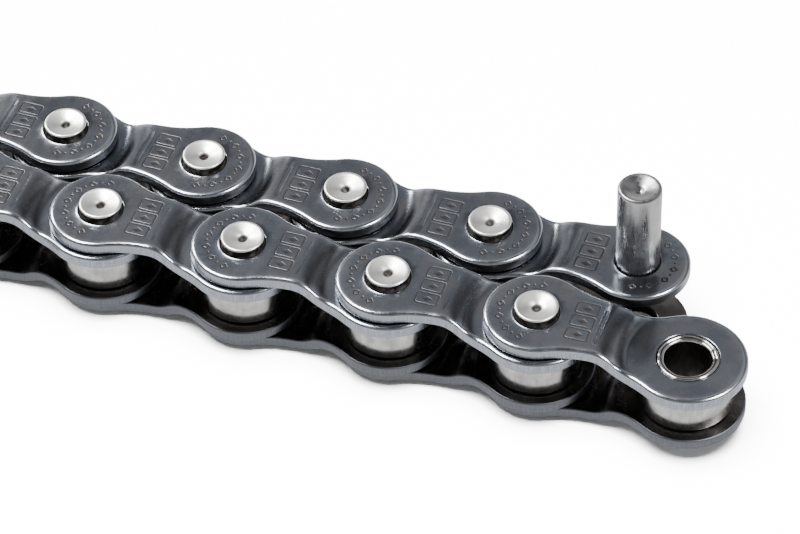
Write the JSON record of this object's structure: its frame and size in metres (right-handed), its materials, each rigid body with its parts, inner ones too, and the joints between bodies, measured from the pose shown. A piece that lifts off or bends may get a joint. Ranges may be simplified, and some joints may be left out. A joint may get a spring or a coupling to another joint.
{
  "type": "half link drive chain",
  "caption": "Half-link roller chain lying on its side, folded into two nested strands, with cranked side plates, rollers, a free bush end and a standing joining pin.",
  "frame": {"origin": "centre of the laid chain's footprint, on the plane the lower pin ends stand on", "axes": "+X along the strands towards the free ends, +Y from the strand with the free bush to the strand with the joining pin, +Z along the pins and bushes"},
  "size_m": [0.0926, 0.0282, 0.017],
  "materials": {
    "plate_steel": "satin dark blued steel",
    "pin_steel": "bright turned steel",
    "bush_steel": "polished steel",
    "roller_steel": "bright ground steel",
    "joining_pin_steel": "plain grey steel"
  },
  "bodies": {
    "link_01": {"link_01_side_plates": "plate_steel", "link_01_bush": "bush_steel", "link_01_pin": "pin_steel"},
    "link_02": {"link_02_side_plates": "plate_steel", "link_02_bush": "bush_steel", "link_02_pin": "pin_steel"},
    "link_03": {"link_03_side_plates": "plate_steel", "link_03_bush": "bush_steel", "link_03_pin": "pin_steel"},
    "link_04": {"link_04_side_plates": "plate_steel", "link_04_bush": "bush_steel", "link_04_pin": "pin_steel"},
    "link_05": {"link_05_side_plates": "plate_steel", "link_05_bush": "bush_steel", "link_05_pin": "pin_steel"},
    "link_06": {"link_06_side_plates": "plate_steel", "link_06_bush": "bush_steel", "link_06_pin": "pin_steel"},
    "link_07": {"link_07_side_plates": "plate_steel", "link_07_bush": "bush_steel", "link_07_pin": "pin_steel"},
    "link_08": {"link_08_side_plates": "plate_steel", "link_08_bush": "bush_steel", "link_08_pin": "pin_steel"},
    "link_09": {"link_09_side_plates": "plate_steel", "link_09_bush": "bush_steel", "link_09_pin": "pin_steel"},
    "link_10": {"link_10_side_plates": "plate_steel", "link_10_bush": "bush_steel", "link_10_pin": "pin_steel"},
    "link_11": {"link_11_side_plates": "plate_steel", "link_11_bush": "bush_steel", "link_11_pin": "pin_steel"},
    "link_12": {"link_12_side_plates": "plate_steel", "link_12_bush": "bush_steel", "link_12_pin": "pin_steel"},
    "link_13": {"link_13_side_plates": "plate_steel", "link_13_bush": "bush_steel", "link_13_pin": "pin_steel"},
    "link_14": {"link_14_side_plates": "plate_steel", "link_14_bush": "bush_steel"},
    "roller_01": {"link_01_roller": "roller_steel"},
    "roller_02": {"link_02_roller": "roller_steel"},
    "roller_03": {"link_03_roller": "roller_steel"},
    "roller_04": {"link_04_roller": "roller_steel"},
    "roller_05": {"link_05_roller": "roller_steel"},
    "roller_06": {"link_06_roller": "roller_steel"},
    "roller_07": {"link_07_roller": "roller_steel"},
    "roller_08": {"link_08_roller": "roller_steel"},
    "roller_09": {"link_09_roller": "roller_steel"},
    "roller_10": {"link_10_roller": "roller_steel"},
    "roller_11": {"link_11_roller": "roller_steel"},
    "roller_12": {"link_12_roller": "roller_steel"},
    "roller_13": {"link_13_roller": "roller_steel"},
    "roller_14": {"link_14_roller": "roller_steel"},
    "joining_pin": {"joining_pin": "joining_pin_steel"}
  },
  "joints": [
    {"name": "hinge_01_02", "type": "hinge", "parent": "link_02", "child": "link_01", "pos_m": [0.02878, 0.00115, 0.00475], "axis": [0, 0, 1], "range_deg": [-80, 0]},
    {"name": "hinge_02_03", "type": "hinge", "parent": "link_03", "child": "link_02", "pos_m": [0.01608, 0.00115, 0.00475], "axis": [0, 0, -1], "range_deg": [0, 80]},
    {"name": "hinge_03_04", "type": "hinge", "parent": "link_04", "child": "link_03", "pos_m": [0.00338, 0.00115, 0.00475], "axis": [0, 0, 1], "range_deg": [-80, 0]},
    {"name": "hinge_04_05", "type": "hinge", "parent": "link_05", "child": "link_04", "pos_m": [-0.00932, 0.00115, 0.00475], "axis": [0, 0, -1], "range_deg": [0, 80]},
    {"name": "hinge_05_06", "type": "hinge", "parent": "link_06", "child": "link_05", "pos_m": [-0.02202, 0.00115, 0.00475], "axis": [0, 0, -1], "range_deg": [0, 25]},
    {"name": "hinge_06_07", "type": "hinge", "parent": "link_07", "child": "link_06", "pos_m": [-0.0293, -0.00925, 0.00475], "axis": [0, 0, 1], "range_deg": [-131, 0]},
    {"name": "hinge_07_08", "type": "hinge", "parent": "link_08", "child": "link_07", "pos_m": [-0.04148, -0.00565, 0.00475], "axis": [0, 0, -1], "range_deg": [0, 134]},
    {"name": "hinge_08_09", "type": "hinge", "parent": "link_08", "child": "link_09", "pos_m": [-0.0412, 0.00705, 0.00475], "axis": [0, 0, -1], "range_deg": [-138, 0]},
    {"name": "hinge_09_10", "type": "hinge", "parent": "link_09", "child": "link_10", "pos_m": [-0.02869, 0.00925, 0.00475], "axis": [0, 0, 1], "range_deg": [0, 90]},
    {"name": "hinge_10_11", "type": "hinge", "parent": "link_10", "child": "link_11", "pos_m": [-0.01599, 0.00925, 0.00475], "axis": [0, 0, -1], "range_deg": [-80, 0]},
    {"name": "hinge_11_12", "type": "hinge", "parent": "link_11", "child": "link_12", "pos_m": [-0.00329, 0.00925, 0.00475], "axis": [0, 0, 1], "range_deg": [0, 80]},
    {"name": "hinge_12_13", "type": "hinge", "parent": "link_12", "child": "link_13", "pos_m": [0.00941, 0.00925, 0.00475], "axis": [0, 0, -1], "range_deg": [-80, 0]},
    {"name": "hinge_13_14", "type": "hinge", "parent": "link_13", "child": "link_14", "pos_m": [0.02211, 0.00925, 0.00475], "axis": [0, 0, 1], "range_deg": [0, 80]},
    {"name": "roller_01_spin", "type": "hinge", "parent": "link_01", "child": "roller_01", "pos_m": [0.04148, 0.00115, 0.00475], "axis": [0, 0, 1], "continuous": true},
    {"name": "roller_02_spin", "type": "hinge", "parent": "link_02", "child": "roller_02", "pos_m": [0.02878, 0.00115, 0.00475], "axis": [0, 0, 1], "continuous": true},
    {"name": "roller_03_spin", "type": "hinge", "parent": "link_03", "child": "roller_03", "pos_m": [0.01608, 0.00115, 0.00475], "axis": [0, 0, 1], "continuous": true},
    {"name": "roller_04_spin", "type": "hinge", "parent": "link_04", "child": "roller_04", "pos_m": [0.00338, 0.00115, 0.00475], "axis": [0, 0, 1], "continuous": true},
    {"name": "roller_05_spin", "type": "hinge", "parent": "link_05", "child": "roller_05", "pos_m": [-0.00932, 0.00115, 0.00475], "axis": [0, 0, 1], "continuous": true},
    {"name": "roller_06_spin", "type": "hinge", "parent": "link_06", "child": "roller_06", "pos_m": [-0.02202, 0.00115, 0.00475], "axis": [0, 0, 1], "continuous": true},
    {"name": "roller_07_spin", "type": "hinge", "parent": "link_07", "child": "roller_07", "pos_m": [-0.0293, -0.00925, 0.00475], "axis": [0, 0, 1], "continuous": true},
    {"name": "roller_08_spin", "type": "hinge", "parent": "link_08", "child": "roller_08", "pos_m": [-0.04148, -0.00565, 0.00475], "axis": [0, 0, 1], "continuous": true},
    {"name": "roller_09_spin", "type": "hinge", "parent": "link_09", "child": "roller_09", "pos_m": [-0.0412, 0.00705, 0.00475], "axis": [0, 0, 1], "continuous": true},
    {"name": "roller_10_spin", "type": "hinge", "parent": "link_10", "child": "roller_10", "pos_m": [-0.02869, 0.00925, 0.00475], "axis": [0, 0, 1], "continuous": true},
    {"name": "roller_11_spin", "type": "hinge", "parent": "link_11", "child": "roller_11", "pos_m": [-0.01599, 0.00925, 0.00475], "axis": [0, 0, 1], "continuous": true},
    {"name": "roller_12_spin", "type": "hinge", "parent": "link_12", "child": "roller_12", "pos_m": [-0.00329, 0.00925, 0.00475], "axis": [0, 0, 1], "continuous": true},
    {"name": "roller_13_spin", "type": "hinge", "parent": "link_13", "child": "roller_13", "pos_m": [0.00941, 0.00925, 0.00475], "axis": [0, 0, 1], "continuous": true},
    {"name": "roller_14_spin", "type": "hinge", "parent": "link_14", "child": "roller_14", "pos_m": [0.02211, 0.00925, 0.00475], "axis": [0, 0, 1], "continuous": true},
    {"name": "joining_pin_press", "type": "slide", "parent": "link_14", "child": "joining_pin", "axis": [0, 0, 1], "range_m": [-0.00755, 0]}
  ]
}
